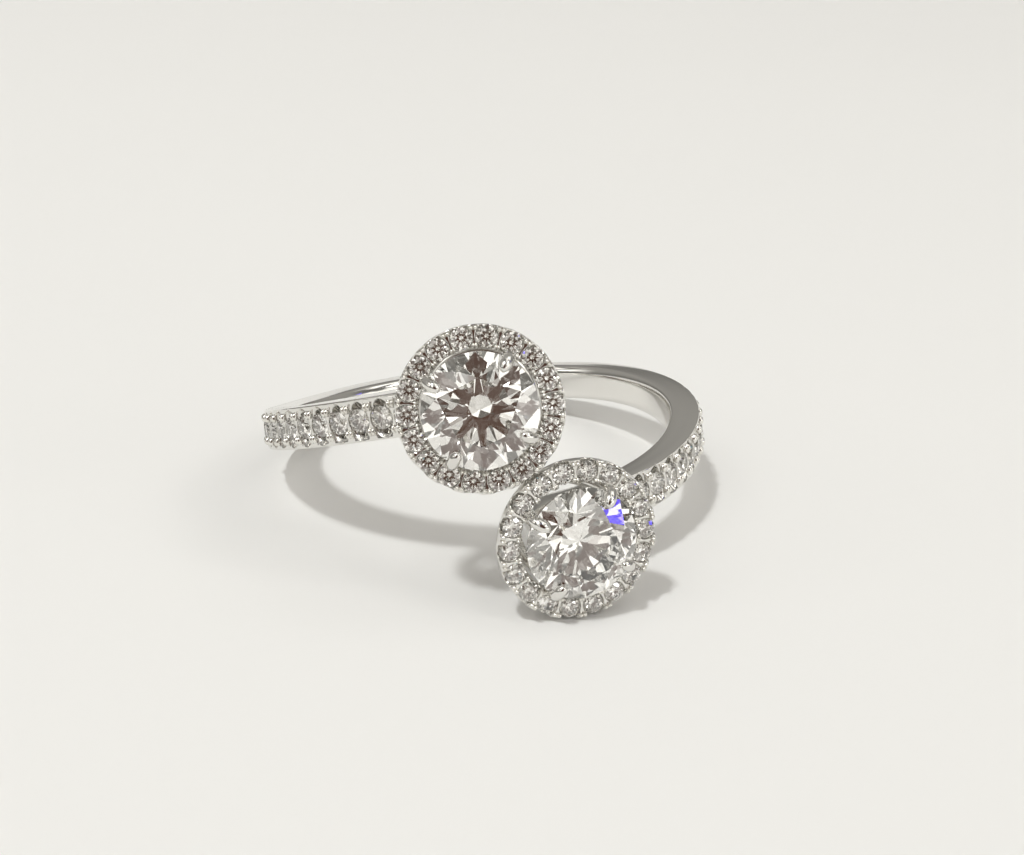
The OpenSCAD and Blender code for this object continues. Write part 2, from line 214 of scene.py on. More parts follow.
class Measures:
    """Sizes worked out from the properties, in metres and radians.

    The ring's own frame has the finger's axis as Z, the back at +Y and the heads at -Y.
    """

    def __init__(self, ring):
        self.shank, self.head = ring.shank, ring.head
        self.stone, self.prong = ring.stone, ring.prong
        h, s, k = ring.head, ring.stone, ring.shank
        self.shank_r = FINGER_R + k.wall
        self.face_r = self.shank_r + h.height
        self.main_r = s.main_d / 2
        self.halo_in = self.main_r + s.moat
        self.halo_r = self.halo_in + s.halo_d + 2 * h.halo_edge
        self.halo_row_r = (self.halo_in + self.halo_r) / 2
        self.halo_count = int(2 * math.pi * self.halo_row_r / (s.halo_d + s.gap))
        self.base_r = self.main_r - h.base_inset
        self.head_angle = math.pi - h.turn
        rim_x = (self.face_r - h.halo_rim) * math.sin(h.turn)
        rim = self.halo_r - h.joint / 2
        self.head_off = math.sqrt(rim**2 - rim_x**2) + h.halo_rim * math.sin(h.lean)
        shoulder_off = self.head_off - h.height * math.sin(h.lean)
        self.climb_h = shoulder_off / float(self.climb(self.head_angle))
        self.row_step = (s.shoulder_d + s.gap) / self.shank_r
        reach = self.base_r + h.base_wall / 2 + s.base_clear + s.shoulder_d / 2
        self.row_end = self.head_angle - math.asin(reach / self.shank_r)
        self.row_count = int((self.row_end - s.row_start) / self.row_step) + 1

    def climb(self, a):
        """Share of the climb at angle a: a squared sine of the way from start to end."""
        k = self.shank
        t = np.clip((np.asarray(a) - k.climb_start) / (k.climb_end - k.climb_start), 0, None)
        return np.sin(math.pi / 2 * t) ** 2

    def path_z(self, a):
        """Place of the shank's middle along the finger; the right side goes down."""
        return -np.sign(a) * self.climb_h * self.climb(np.abs(a))

    def slope(self, a):
        """Angle of the path on the shank's outer face, by central differences."""
        step = 0.01
        rise = self.path_z(a + step) - self.path_z(a - step)
        return np.arctan(rise / (2 * step * self.shank_r))

    def width(self, a):
        """Width at angle a: eased from back to shoulder, and an arc at the nose."""
        k = self.shank
        t = np.clip((a - k.widen_start) / (k.widen_end - k.widen_start), 0, 1)
        full = k.back_w + (k.shoulder_w - k.back_w) * t * t * (3 - 2 * t)
        u = np.clip((a - math.pi + k.end_gap + k.nose) / k.nose, 0, 1)
        return full * np.sqrt(1 - u * u * (1 - k.nose_tip**2))

    def half_width(self, a):
        """Half the width, measured square to the path."""
        return self.width(a) / 2 * np.cos(self.slope(a))


def measures():
    """The sizes as the scene's properties have them now."""
    return Measures(bpy.context.scene.toi_et_moi)


def rotation(axis, degrees):
    """3 by 3 rotation about one of the axes X, Y or Z."""
    return np.array(Matrix.Rotation(math.radians(degrees), 3, axis))


def resting():
    """Rotation that leans the ring's frame so that its Z lies on the finger's axis.

    It is the shortest turn from Z to the axis: I + K + K K / (1 + cos), where K stands for
    the cross product with Z x axis, and cos is the axis's z.
    """
    x, y, z = FINGER_AXIS
    k = np.array([[0, 0, x], [0, 0, y], [-x, -y, 0]])
    return np.eye(3) + k + k @ k / (1 + z)


def to_world(points):
    """Points of the ring's own frame, placed as the ring lies."""
    return points @ resting().T


def on_head(m, points, turn):
    """Points of a head's frame, with +Z out of the halo's face, placed in the world."""
    turn_deg, lean_deg = math.degrees(m.head.turn), math.degrees(m.head.lean)
    face = np.array([m.face_r * math.sin(m.head.turn), -m.face_r * math.cos(m.head.turn),
                     -m.head_off])
    local = points @ (rotation("Z", turn_deg) @ rotation("X", 90 + lean_deg)).T + face
    return to_world(local @ rotation("Y", turn).T)


def on_shank(m, a, y, z):
    """Points of the shank in the ring's frame.

    a is the angle of a station on the path, y the place across the path at a right angle
    to it, and z the height over the outer face; y is laid off along the path's normal.
    """
    slope = m.slope(a)
    turned = a - y * np.sin(slope) / m.shank_r
    along = m.path_z(a) + y * np.cos(slope)
    r = m.shank_r + z
    return np.stack([r * np.sin(turned), r * np.cos(turned), along], -1)


def around(count):
    """Angles of so many points, evenly round a circle."""
    return np.linspace(0, 2 * math.pi, count, endpoint=False)


def on_circle(r, q, z):
    """Points at radius r, angle q and height z: (r cos q, r sin q, z)."""
    return np.stack(np.broadcast_arrays(r * np.cos(q), r * np.sin(q), z), -1)


def grid_faces(rows, columns, wrap_rows):
    """Quads of a grid that joins up across its columns, and down its rows if asked."""
    i = np.arange(rows if wrap_rows else rows - 1)[:, None]
    j = np.arange(columns)[None, :]
    i2, j2 = (i + 1) % rows, (j + 1) % columns
    quads = np.stack([i * columns + j, i2 * columns + j,
                      i2 * columns + j2, i * columns + j2], -1)
    return quads.reshape(-1, 4)


def closed(grid, poles):
    """A grid that joins up across its columns, with a fan to a pole at each end."""
    rows, sides = grid.shape[:2]
    points = np.concatenate([grid.reshape(-1, 3), poles])
    j = np.arange(sides)
    j2, last, pole = (j + 1) % sides, (rows - 1) * sides, 0 * j + rows * sides
    start = np.stack([j, j2, pole], -1)
    end = np.stack([last + j2, last + j, pole + 1], -1)
    return points, grid_faces(rows, sides, False), np.concatenate([start, end])


def tube(grid):
    """A grid that joins up across its columns, with flat ends."""
    return closed(grid, grid[[0, -1]].mean(1))


def torus(grid):
    """A grid that joins up both ways."""
    return grid.reshape(-1, 3), grid_faces(*grid.shape[:2], True), np.zeros((0, 3), int)


def ball(sides, rings):
    """A unit ball: circles of radius sin t at height cos t, with t from pole to pole."""
    t = np.linspace(0, math.pi, rings + 1)[1:-1, None]
    grid = on_circle(np.sin(t), around(sides), np.cos(t))
    return closed(grid, [[0, 0, 1.0], [0, 0, -1.0]])


def joined(parts):
    """Several point and face sets as one."""
    points, quads, triangles, start = [], [], [], 0
    for p, q, t in parts:
        points.append(p)
        quads.append(q + start)
        triangles.append(t + start)
        start += len(p)
    return np.concatenate(points), np.concatenate(quads), np.concatenate(triangles)


def outward(points, quads, triangles):
    """The faces, turned round if the volume that they close is negative."""
    loose = np.concatenate([quads[:, [0, 1, 2]], quads[:, [0, 2, 3]], triangles])
    a, b, c = (points[loose[:, i]] for i in range(3))
    if np.einsum("ij,ij->i", a, np.cross(b, c)).sum() < 0:
        return quads[:, ::-1], triangles[:, ::-1]
    return quads, triangles


def add_metal(name, shape, sharp=50.0, material=None, sunk=None):
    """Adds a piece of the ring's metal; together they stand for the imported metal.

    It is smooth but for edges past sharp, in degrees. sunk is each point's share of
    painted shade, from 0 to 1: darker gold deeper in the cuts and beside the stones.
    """
    material = material or white_gold("white_gold")
    points, quads, triangles = shape
    quads, triangles = outward(points, quads, triangles)
    mesh = bpy.data.meshes.new(name)
    mesh.from_pydata(points.tolist(), [], quads.tolist() + triangles.tolist())
    mesh.validate()
    mesh.shade_smooth()
    mesh.set_sharp_from_angle(angle=math.radians(sharp))
    mesh.materials.append(material)
    # The share of painted shade is kept on the mesh as its sunk attribute
    if sunk is not None:
        values = np.zeros(len(points))
        values[:sunk.size] = sunk.ravel()
        mesh.attributes.new("sunk", "FLOAT", "POINT").data.foreach_set("value", values)
    piece = bpy.data.objects.new(name, mesh)
    bpy.context.scene.collection.objects.link(piece)
    piece.modifiers.new("Even shading", "WEIGHTED_NORMAL").keep_sharp = True
    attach(piece, "root")
    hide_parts(METAL)


def add_to_heads(m, name, shape, **finish):
    """Adds a piece of metal to each head, from its shape in the head's frame."""
    points, quads, triangles = shape
    for head, turn in HEADS.items():
        placed = on_head(m, points, turn)
        add_metal(f"{name}_{head}", (placed, quads, triangles), **finish)


# Seats and scallops

# Angles whose sines space the columns over a cut and over the rounding of a bar
NOTCH_SAMPLES = np.radians(np.linspace(-90, 90, 13))
BAR_SAMPLES = np.radians(np.linspace(0, 90, 5))
# Largest rounding of a bar's edges, also as a share of half the bar
BAR_ROUND = 0.075 * MM
BAR_SHARE = 0.45
# Drop of the columns in a cut: any number over 1, where the rounding of the bar ends
IN_CUT = 2
# Depth over which painted shade rises by 1, and painted shade on the face beside the stones
PAINTED_SHADE_DEPTH = 0.3 * MM
SET_SHADE = 0.5


def notch_columns():
    """Columns of one stone's stretch of metal, from the bar before it to the bar after.

    Each column lies at swing * X + shift * R, where X is the half width of the cut on its
    row and R the rounding of the bar. Its drop is in units of R, and over 1 in the cut.
    """
    out, down = 1 - np.sin(BAR_SAMPLES), 1 - np.cos(BAR_SAMPLES)
    cut = np.sin(NOTCH_SAMPLES)
    swing = np.concatenate([-1 + 0 * out, cut, 1 + 0 * out])
    shift = np.concatenate([-out, 0 * cut, out[::-1]])
    drop = np.concatenate([down, IN_CUT + 0 * cut, down[::-1]])
    return swing, shift, drop


def painted_shade_share(height, start):
    """Painted shade at a height: start on the face, then rising with the depth to 1 at most."""
    return np.clip(start - height / PAINTED_SHADE_DEPTH, 0, 1)


def bar_round(half_bar):
    """Rounding of a bar's edges: a share of half its width, up to the largest."""
    return np.clip(BAR_SHARE * half_bar, 0, BAR_ROUND)


def bar_top(floor, drop, rounding):
    """Height of a column: on the bar's round edge, or on the cut's floor below it."""
    return np.where(drop > 1, np.minimum(floor, -rounding), -drop * rounding)


class Seat:
    """The cut for one small stone: a round-bottomed scallop across, and a cone seat.

    A scallop with a reach gets shallower from the stone on and ends there, in a leaf's
    point. x runs along the row of stones and y across it.
    """

    def __init__(self, m, diameter, scallop, reach=None):
        s = m.stone
        self.r = diameter / 2 + s.fit_gap
        self.reach, self.scallop = reach, scallop
        self.notch_r = s.scallop_r * diameter
        self.notch_w = math.sqrt(self.notch_r**2 - (self.notch_r - scallop) ** 2)
        self.wall = s.set_depth + s.girdle * diameter / 2 + s.fit_gap
        self.cone = math.tan(s.pavilion)

    def fade(self, y):
        """Share of the scallop's depth at distance y from the row of stones."""
        if self.reach is None:
            return 1 + 0 * y
        return np.clip((self.reach - np.abs(y)) / (self.reach - self.r), 0, 1)

    def half_width(self, y):
        """Half width of the cut at y: the seat's circle or the scallop, if that is wider."""
        seat = np.sqrt(np.maximum(self.r**2 - y**2, 0))
        return np.maximum(seat, self.notch_w)

    def floor(self, x, y):
        """Height of the cut's floor: the lower of the scallop's arc and the cone."""
        bottom = np.sqrt(np.maximum(self.notch_r**2 - x**2, 0))
        arc = np.minimum(self.notch_r - self.scallop * self.fade(y) - bottom, 0)
        arc = np.where(np.abs(x) < self.notch_r, arc, 0)
        rho = np.hypot(x, y)
        cone = np.where(rho < self.r, -self.wall - (self.r - rho) * self.cone, 0)
        return np.minimum(arc, cone)


def rounded(start, end, r, count):
    """Offsets (out, down) of a quarter round of radius r, from angle start to end."""
    t = np.radians(np.linspace(start, end, count))
    return np.stack([r * (np.sin(t) - 1), r * (np.cos(t) - 1)], -1)


# Shank

# Points across the outer face and the hole's wall, and over each rounding
OUTER_ROWS = 35
INNER_ROWS = 3
EDGE_POINTS = 4
COMFORT_POINTS = 9
# Heights of the points down the side, as shares of its height
SIDE_LEVELS = np.array([0.4, 0.7, 1.0])
# Largest angle between stations on plain metal, and the points over each nose
PLAIN_STEP = math.radians(2.0)
NOSE_POINTS = 12
# Where a scallop ends, as a share of the shoulder's half width
SCALLOP_REACH = 0.93
# Share of a scallop's depth below which its columns begin to spread
SPREAD_FROM = 0.5
# Where the half width is under this many comfort widths, the roundings get smaller
ROOM_FOR_ROUNDING = 1.5


def shank_stations(m):
    """Stations of half the shank, as five rows of numbers.

    They are the angle of the station or of its stone, the swing, shift and drop of its
    column, which are 0 on plain metal, and its angle where the columns are evenly spread.
    """
    last = math.pi - m.shank.end_gap
    rows = m.row_end - np.arange(m.row_count)[::-1] * m.row_step
    first_bar, last_bar = rows[0] - m.row_step / 2, rows[-1] + m.row_step / 2
    back = np.linspace(0, first_bar, int(first_bar / PLAIN_STEP) + 1)
    nose_start = last - m.shank.nose
    front = np.linspace(last_bar, nose_start, int((nose_start - last_bar) / PLAIN_STEP) + 2)
    ease = np.sin(np.linspace(0, math.pi / 2, NOSE_POINTS))[1:]
    front = np.concatenate([front, nose_start + m.shank.nose * ease])

    def plain(a):
        return np.stack([a, 0 * a, 0 * a, 0 * a, a])

    notch = np.stack(notch_columns())
    size = notch.shape[1]
    spread = (np.arange(1, size + 1) / (size + 1) - 0.5) * m.row_step
    parts = [plain(back[:-1])]
    for row in rows:
        parts.append(plain(np.array([row - m.row_step / 2])))
        parts.append(np.concatenate([np.full((1, size), row), notch, [row + spread]]))
    return np.concatenate([*parts, plain(front)], 1)


def shank_grid(m):
    """Grid of the whole shank: stations along the path by points round its section.

    The section is a rectangle with rounded corners, and with a quarter of an ellipse at
    each edge of the hole. On the shoulders the columns follow the edge of each cut, so the
    cut's half width bends them, and the outer face drops to the cut's floor. One half is
    worked out, and half a turn about Y gives the other. With the grid comes its painted shade.
    """
    centre, swing, shift, drop, even = (v[:, None] for v in shank_stations(m))
    reach = SCALLOP_REACH * m.shank.shoulder_w / 2
    seat = Seat(m, m.stone.shoulder_d, m.stone.shoulder_scallop, reach)
    half_step = m.row_step * m.shank_r / 2
    apart = (even - centre) * m.shank_r / np.cos(m.slope(centre))
    half_low = m.half_width(even)
    squeeze = np.minimum(1, half_low / (ROOM_FOR_ROUNDING * m.shank.comfort_w))
    edge, curve_w = m.shank.edge * squeeze, m.shank.comfort_w * squeeze
    wall, curve_t = m.shank.wall, m.shank.comfort_t * squeeze

    def station(y):
        """Angle, place along the path and bar rounding of each column at y.

        Columns keep to the cut's edges, and go over to an even spread where it runs out.
        """
        keep = np.clip(seat.fade(y) / SPREAD_FROM, 0, 1)
        rounding = bar_round(half_step - seat.half_width(y)) * seat.fade(y)
        x = keep * (swing * seat.half_width(y) + shift * rounding) + (1 - keep) * apart
        return centre + x * np.cos(m.slope(centre)) / m.shank_r, x, rounding

    def top(y):
        """Height of each column at y."""
        x, rounding = station(y)[1:]
        return bar_top(seat.floor(x, y), drop, rounding)

    rim_a = station(half_low)[0]
    half = m.half_width(rim_a)
    y = np.linspace(-1, 1, OUTER_ROWS)[None, :] * (half - edge)
    outer = (station(y)[0], y, top(y))
    arc = rounded(0, 90, 1.0, EDGE_POINTS + 1)[1:]
    low_arc = rounded(90, 0, 1.0, COMFORT_POINTS + 1)[1:]
    low = np.full_like(half, -wall)
    low_z = low - curve_t * low_arc[:, 1]
    side_z = -SIDE_LEVELS * (wall - curve_t)
    side_a = np.concatenate([np.repeat(rim_a, EDGE_POINTS, 1),
                             np.repeat(even, len(SIDE_LEVELS) + COMFORT_POINTS, 1)], 1)
    sides = {}
    for sign in (1, -1):
        rim_y = sign * (half + edge * arc[:, 0])
        rim_z = top(sign * (half - edge)) + edge * arc[:, 1]
        side_y = np.repeat(sign * half_low, len(SIDE_LEVELS), 1)
        low_y = sign * (half_low + curve_w * low_arc[:, 0])
        sides[sign] = (side_a, np.concatenate([rim_y, side_y, low_y], 1),
                       np.concatenate([rim_z, side_z, low_z], 1))
    inside = np.linspace(1, -1, INNER_ROWS + 2)[None, 1:-1] * (half_low - curve_w)
    bore = (np.repeat(even, INNER_ROWS, 1), inside, np.repeat(low, INNER_ROWS, 1))
    back_up = tuple(v[:, ::-1] for v in sides[-1])
    a, y, z = (np.concatenate(v, 1) for v in zip(outer, sides[1], bore, back_up))
    right = on_shank(m, a, y, z)
    mirror = (OUTER_ROWS - 1 - np.arange(a.shape[1])) % a.shape[1]
    left = right[::-1, mirror][:-1] * np.array([-1, 1, -1])
    # Painted shade: darker gold on the face between the stones, rising with the depth in a cut
    sunk = np.zeros_like(z)
    between = np.abs(y[:, :OUTER_ROWS]) < m.stone.shoulder_d / 2
    set_part = (centre > m.stone.row_start - m.row_step / 2) & (centre < m.row_end + m.row_step)
    start = np.where(between & set_part, SET_SHADE, 0)
    sunk[:, :OUTER_ROWS] = painted_shade_share(z[:, :OUTER_ROWS], start)
    return np.concatenate([left, right]), np.concatenate([sunk[::-1, mirror][:-1], sunk])


class RING_OT_shank(bpy.types.Operator):
    """Adds the shank, with its scalloped shoulders"""

    bl_idname = "ring.shank"
    bl_label = "Shank"

    def execute(self, context):
        grid, sunk = shank_grid(measures())
        add_metal("shank", tube(to_world(grid)), sunk=sunk)
        return {"FINISHED"}


# Halos and base rings

# Points across a halo's face and its underside
HALO_ROWS = 19
UNDER_POINTS = 3
# Lowest point of the moat's wall above its edge, as a share of the halo's thickness
WALL_FOOT = 0.85


def halo_grid(m):
    """Grid of one halo in its head's frame: columns round the stone by section points.

    The section goes from the moat to the rim with rounded corners, and its outer side is
    straight at first and then tapers in. Columns lie at an angle from their stone, half
    the cut's width on that radius, so that they follow the edge of each cut. With the
    grid comes its painted shade.
    """
    h, n = m.head, m.halo_count
    seat = Seat(m, m.stone.halo_d, m.stone.halo_scallop)
    swing, shift, drop = (np.concatenate([[0], v]) for v in notch_columns())
    bar = np.concatenate([[-math.pi / n], 0 * swing[1:]])
    radii = np.linspace(m.halo_in + h.edge, m.halo_r - h.edge, HALO_ROWS)
    arc_out = rounded(0, 90, h.edge, EDGE_POINTS)[1:]
    arc_in = rounded(90, 0, h.edge, EDGE_POINTS)[1:]
    low, rim = -h.halo_t, -h.halo_rim
    foot_r = m.halo_r - h.halo_taper

    def swing_angle(r):
        """Half angle of the cut on radius r: a circle about the stone, or the scallop."""
        chord = (r**2 + m.halo_row_r**2 - seat.r**2) / (2 * r * m.halo_row_r)
        return np.maximum(np.arccos(np.minimum(chord, 1)), np.arcsin(seat.notch_w / r))

    def column(r):
        """Angle and height of each column on the radii r."""
        r = np.atleast_1d(r)[None, :]
        rounding = bar_round(r * (math.pi / n - swing_angle(r)))
        q = swing[:, None] * swing_angle(r) + shift[:, None] * rounding / r + bar[:, None]
        x, y = r * np.sin(q), r * np.cos(q) - m.halo_row_r
        return q, bar_top(seat.floor(x, y), drop[:, None], rounding)

    def level(values):
        """The same values on every column."""
        return np.repeat(np.atleast_1d(values)[None, :], len(swing), 0)

    q_top, z_top = column(radii)
    q_out, z_out = column(m.halo_r - h.edge)
    q_in, z_in = column(m.halo_in + h.edge)
    bevel = h.edge / 2
    outer_r = np.concatenate([m.halo_r + arc_out[:, 0], [
        m.halo_r, m.halo_r - h.edge / 3, foot_r + h.edge / 4, foot_r - bevel]])
    outer_z = [z_out + arc_out[:, 1], level([rim + bevel, rim - bevel]),
               level([low + bevel, low])]
    flat_r = np.linspace(foot_r - bevel, m.halo_in + h.edge, UNDER_POINTS + 2)[1:-1]
    foot = rounded(0, 90, h.edge, EDGE_POINTS)
    inner_r = np.concatenate([m.halo_in - foot[:, 0], [m.halo_in] * 2,
                              m.halo_in - arc_in[:-1, 0]])
    inner_z = [level(low - foot[:, 1]), level([-WALL_FOOT * h.halo_t, rim - h.edge]),
               z_in + arc_in[:-1, 1]]
    r = np.concatenate([level(radii), level(outer_r), level(flat_r), level(inner_r)], 1)
    z = np.concatenate([z_top, *outer_z, level(np.full(UNDER_POINTS, low)), *inner_z], 1)
    q = np.concatenate([q_top, np.repeat(q_out, len(outer_r) + UNDER_POINTS, 1),
                        np.repeat(q_in, len(inner_r), 1)], 1)
    turns = (np.arange(n) + 0.5) * 2 * math.pi / n - math.pi / 2
    q = (turns[:, None, None] + q[None]).reshape(n * len(swing), -1)
    r, z = np.tile(r, (n, 1)), np.tile(z, (n, 1))
    # Painted shade: darker gold on the halo's face, rising with the depth in a cut
    sunk = np.zeros_like(z)
    sunk[:, :HALO_ROWS] = painted_shade_share(z[:, :HALO_ROWS], SET_SHADE)
    return on_circle(r, q, z), sunk


BASE_SIDES = 96
BASE_EDGE_POINTS = 5


def ring_grid(inner, outer, low, high, edge):
    """Grid of a plain ring: a rectangle with rounded corners turned about Z."""
    arc = rounded(0, 90, edge, BASE_EDGE_POINTS)
    r = np.concatenate([outer + arc[:, 0], outer + arc[::-1, 0],
                        inner - arc[:, 0], inner - arc[::-1, 0]])
    z = np.concatenate([high + arc[:, 1], low - arc[::-1, 1],
                        low - arc[:, 1], high + arc[::-1, 1]])
    return on_circle(r, around(BASE_SIDES)[:, None], z)


class RING_OT_halos(bpy.types.Operator):
    """Adds the two halos, with a cut for each of their stones"""

    bl_idname = "ring.halos"
    bl_label = "Halos"

    def execute(self, context):
        m = measures()
        grid, sunk = halo_grid(m)
        add_to_heads(m, "halo", torus(grid), sunk=sunk)
        return {"FINISHED"}


class RING_OT_bases(bpy.types.Operator):
    """Adds the base ring under each head"""

    bl_idname = "ring.bases"
    bl_label = "Base rings"

    def execute(self, context):
        m = measures()
        h = m.head
        low = -h.height - h.base_sink * h.base_h
        grid = ring_grid(m.base_r - h.base_wall / 2, m.base_r + h.base_wall / 2,
                         low, low + h.base_h, h.base_edge)
        add_to_heads(m, "base_ring", torus(grid))
        return {"FINISHED"}


# Prongs and beads

# Points round a prong, along its straight part, round its bend and over its point
PRONG_SIDES = 24
STRAIGHT_POINTS = 8
BEND_POINTS = 12
CLAW_POINTS = 8
# Start of the bend before the elbow and top of the bend past it, in straight lengths
BEND_FROM = 0.16
BEND_PAST = 0.036
# Share of the line's length from which the wire changes to the claw's width
CLAW_FROM = 0.7
# Length of the claw's point in its radii, and the angle at which the ball is closed
CLAW_LENGTH = 1.7
CLAW_END = 84
# Points round a bead and from pole to pole
BEAD_SIDES, BEAD_RINGS = 10, 6
# A bead's half width, height and place beside its twin, as shares of the pair's width
BEAD_HALF = 0.30
BEAD_HEIGHT = 0.50
BEAD_APART = 0.25
# Widths of the pairs on a halo's inner and outer rim, as shares of the width given
INNER_BEAD, OUTER_BEAD = 0.8, 1.25
# Half lengths of the beads: shares of the inset on a halo, and of the width on a shoulder
HALO_BEAD_REACH = 0.85
SHOULDER_BEAD_REACH = 0.55
BEAD_SINK = 0.01 * MM


def prong_grid(m):
    """Grid of one prong in its head's frame, in the plane y = 0.

    A line from the base ring to an elbow outside the girdle, then to the tip over the
    crown, with the corner rounded by a quadratic curve. The section is round, eases over
    to the claw's width and ends in half a drawn-out ball. What would reach into the stone
    is laid on its surface: above the girdle it is lifted, and below it is moved out.
    """
    p, s, h = m.prong, m.stone, m.head
    lift = s.main_lift
    foot = np.array([m.base_r, -h.height])
    side = np.array([m.main_r + p.elbow_out * p.wire, lift])
    tip = np.array([m.main_r - p.tip_in * p.wire, lift + p.tip_up * p.wire])
    bend_in = side + (foot - side) * BEND_FROM
    elbow = side + (side - foot) * BEND_PAST
    t = np.linspace(0, 1, BEND_POINTS)[:, None]
    straight = foot + (bend_in - foot) * np.linspace(0, 1, STRAIGHT_POINTS)[:-1, None]
    curve = (1 - t) ** 2 * bend_in + 2 * t * (1 - t) * elbow + t * t * tip
    line = np.concatenate([straight, curve])
    ahead = np.gradient(line, axis=0)
    ahead /= np.linalg.norm(ahead, axis=1)[:, None]
    cap = np.radians(np.linspace(0, CLAW_END, CLAW_POINTS))[1:, None]
    far = line[-1] + ahead[-1] * p.tip / 2 * CLAW_LENGTH * np.sin(cap)
    walk = np.concatenate([[0], np.cumsum(np.linalg.norm(np.diff(line, axis=0), axis=1))])
    ease = np.clip((walk / walk[-1] - CLAW_FROM) / (1 - CLAW_FROM), 0, 1)
    radius = p.wire / 2 + (p.tip - p.wire) / 2 * ease * ease * (3 - 2 * ease)
    radius = np.concatenate([radius, p.tip / 2 * np.cos(cap[:, 0])])
    line = np.concatenate([line, far])
    ahead = np.concatenate([ahead, np.repeat(ahead[-1:], len(far), 0)])
    normal = np.stack([ahead[:, 1], -ahead[:, 0]], -1)
    q = around(PRONG_SIDES)[None, :]
    out = radius[:, None] * np.cos(q)
    x = line[:, :1] + normal[:, :1] * out
    z = line[:, 1:] + normal[:, 1:] * out
    y = radius[:, None] * np.sin(q)
    rho = np.hypot(x, y)
    girdle = s.girdle * m.main_r
    crown = lift + girdle + (m.main_r - rho) * math.tan(s.crown) + s.fit_gap
    on_crown = (z > lift) & (rho < m.main_r + s.fit_gap)
    z = np.where(on_crown, np.maximum(z, crown), z)
    waist = m.main_r + s.fit_gap - np.maximum(lift - girdle - z, 0) / math.tan(s.pavilion)
    stretch = np.where(~on_crown & (z > -h.height), np.maximum(rho, waist) / rho, 1)
    return np.stack([x * stretch, y * stretch, z], -1)


def turned(points, q):
    """Points turned about Z by an angle in radians."""
    return points @ rotation("Z", math.degrees(q)).T


def bead_pair(width, reach):
    """Two oval beads side by side in X, each long in Y, with their middles on z = 0."""
    points, quads, triangles = ball(BEAD_SIDES, BEAD_RINGS)
    size = np.array([width * BEAD_HALF, reach, width * BEAD_HEIGHT])
    place = np.array([width * BEAD_APART, 0, 0])
    return joined([(points * size + s * place, quads, triangles) for s in (-1, 1)])


def halo_beads(m):
    """Bead pairs between a halo's stones, on its inner and its outer rim."""
    p, parts = m.prong, []
    rims = ((m.halo_in + p.bead_inset, INNER_BEAD), (m.halo_r - p.bead_inset, OUTER_BEAD))
    for r, wide in rims:
        reach = p.bead_inset * HALO_BEAD_REACH
        points, quads, triangles = bead_pair(p.bead * wide, reach)
        for i in range(m.halo_count):
            q = 2 * math.pi * i / m.halo_count
            placed = turned(points + np.array([0, -r, -BEAD_SINK]), q)
            parts.append((placed, quads, triangles))
    return joined(parts)


def shoulder_beads(m):
    """Bead pairs before, between and after a shoulder's stones, along both edges."""
    p, parts = m.prong, []
    reach = p.shoulder_bead * SHOULDER_BEAD_REACH
    points, quads, triangles = bead_pair(p.shoulder_bead, reach)
    for i in range(m.row_count + 1):
        a = m.row_end - (i - 0.5) * m.row_step
        for side in (-1, 1):
            y = points[:, 1] + side * (m.shank.shoulder_w / 2 - p.bead_margin)
            station = a + points[:, 0] / m.shank_r
            parts.append((on_shank(m, station, y, points[:, 2]), quads, triangles))
    return joined(parts)


class RING_OT_prongs(bpy.types.Operator):
    """Adds the prongs round each main stone"""

    bl_idname = "ring.prongs"
    bl_label = "Prongs"

    def execute(self, context):
        m = measures()
        points, quads, triangles = tube(prong_grid(m))
        parts = [(turned(points, m.prong.turn + 2 * math.pi * i / m.prong.count),
                  quads, triangles) for i in range(m.prong.count)]
        add_to_heads(m, "prongs", joined(parts))
        return {"FINISHED"}


class RING_OT_beads(bpy.types.Operator):
    """Adds the beads that hold the small stones"""

    bl_idname = "ring.beads"
    bl_label = "Beads"

    def execute(self, context):
        m = measures()
        # The beads get a lighter gold, a painted highlight
        painted_highlight_gold = white_gold("bead_gold_painted_highlight")
        add_to_heads(m, "halo_beads", halo_beads(m), sharp=180, material=painted_highlight_gold)
        points, quads, triangles = shoulder_beads(m)
        for name, turn in SIDES.items():
            shape = (to_world(points @ rotation("Y", turn).T), quads, triangles)
            add_metal(f"shoulder_beads_{name}", shape, 180, painted_highlight_gold)
        return {"FINISHED"}


# Materials

class Wire:
    """A shader socket that takes part in Python expressions."""

    def __init__(self, socket):
        self.socket = socket

    @staticmethod
    def node(tree, kind, settings, sockets, output=0):
        """Adds a node: its settings first, then a value or a link for each socket."""
        made = tree.nodes.new(kind)
        for key, value in settings.items():
            setattr(made, key, value)
        for key, value in sockets.items():
            if isinstance(value, Wire):
                tree.links.new(value.socket, made.inputs[key])
            else:
                made.inputs[key].default_value = value
        return Wire(made.outputs[output]) if len(made.outputs) else None

    def maths(self, operation, *values):
        """A Math node of the values, in this socket's tree."""
        sockets = dict(enumerate(values))
        return Wire.node(self.socket.id_data, "ShaderNodeMath", {"operation": operation}, sockets)

    def __add__(self, other):
        return self.maths("ADD", self, other)

    def __mul__(self, other):
        return self.maths("MULTIPLY", self, other)

    def between(self, low, high):
        """0 below low, 1 above high and a smooth step between."""
        settings = {"interpolation_type": "SMOOTHSTEP"}
        sockets = {"Value": self, "From Min": low, "From Max": high}
        return Wire.node(self.socket.id_data, "ShaderNodeMapRange", settings, sockets)

    def mix(self, first, second):
        """A mix of two colours by this value."""
        settings = {"data_type": "RGBA"}
        return Wire.node(self.socket.id_data, "ShaderNodeMix", settings,
                         {0: self, 6: solid(first), 7: solid(second)}, 2)

    __radd__ = __add__
    __rmul__ = __mul__


def solid(value):
    """A colour with its alpha, or a link as it is."""
    return value if isinstance(value, Wire) else (*value, 1.0)


def new_material(name):
    """An empty material, its tree and the wire of its Object coordinates in mm."""
    made = bpy.data.materials.new(name)
    made.use_nodes = True
    tree = made.node_tree
    tree.nodes.clear()
    place = Wire.node(tree, "ShaderNodeTexCoord", {}, {}, "Object")
    in_mm = Wire.node(tree, "ShaderNodeMapping", {}, {"Vector": place, "Scale": (1 / MM,) * 3})
    return made, tree, in_mm


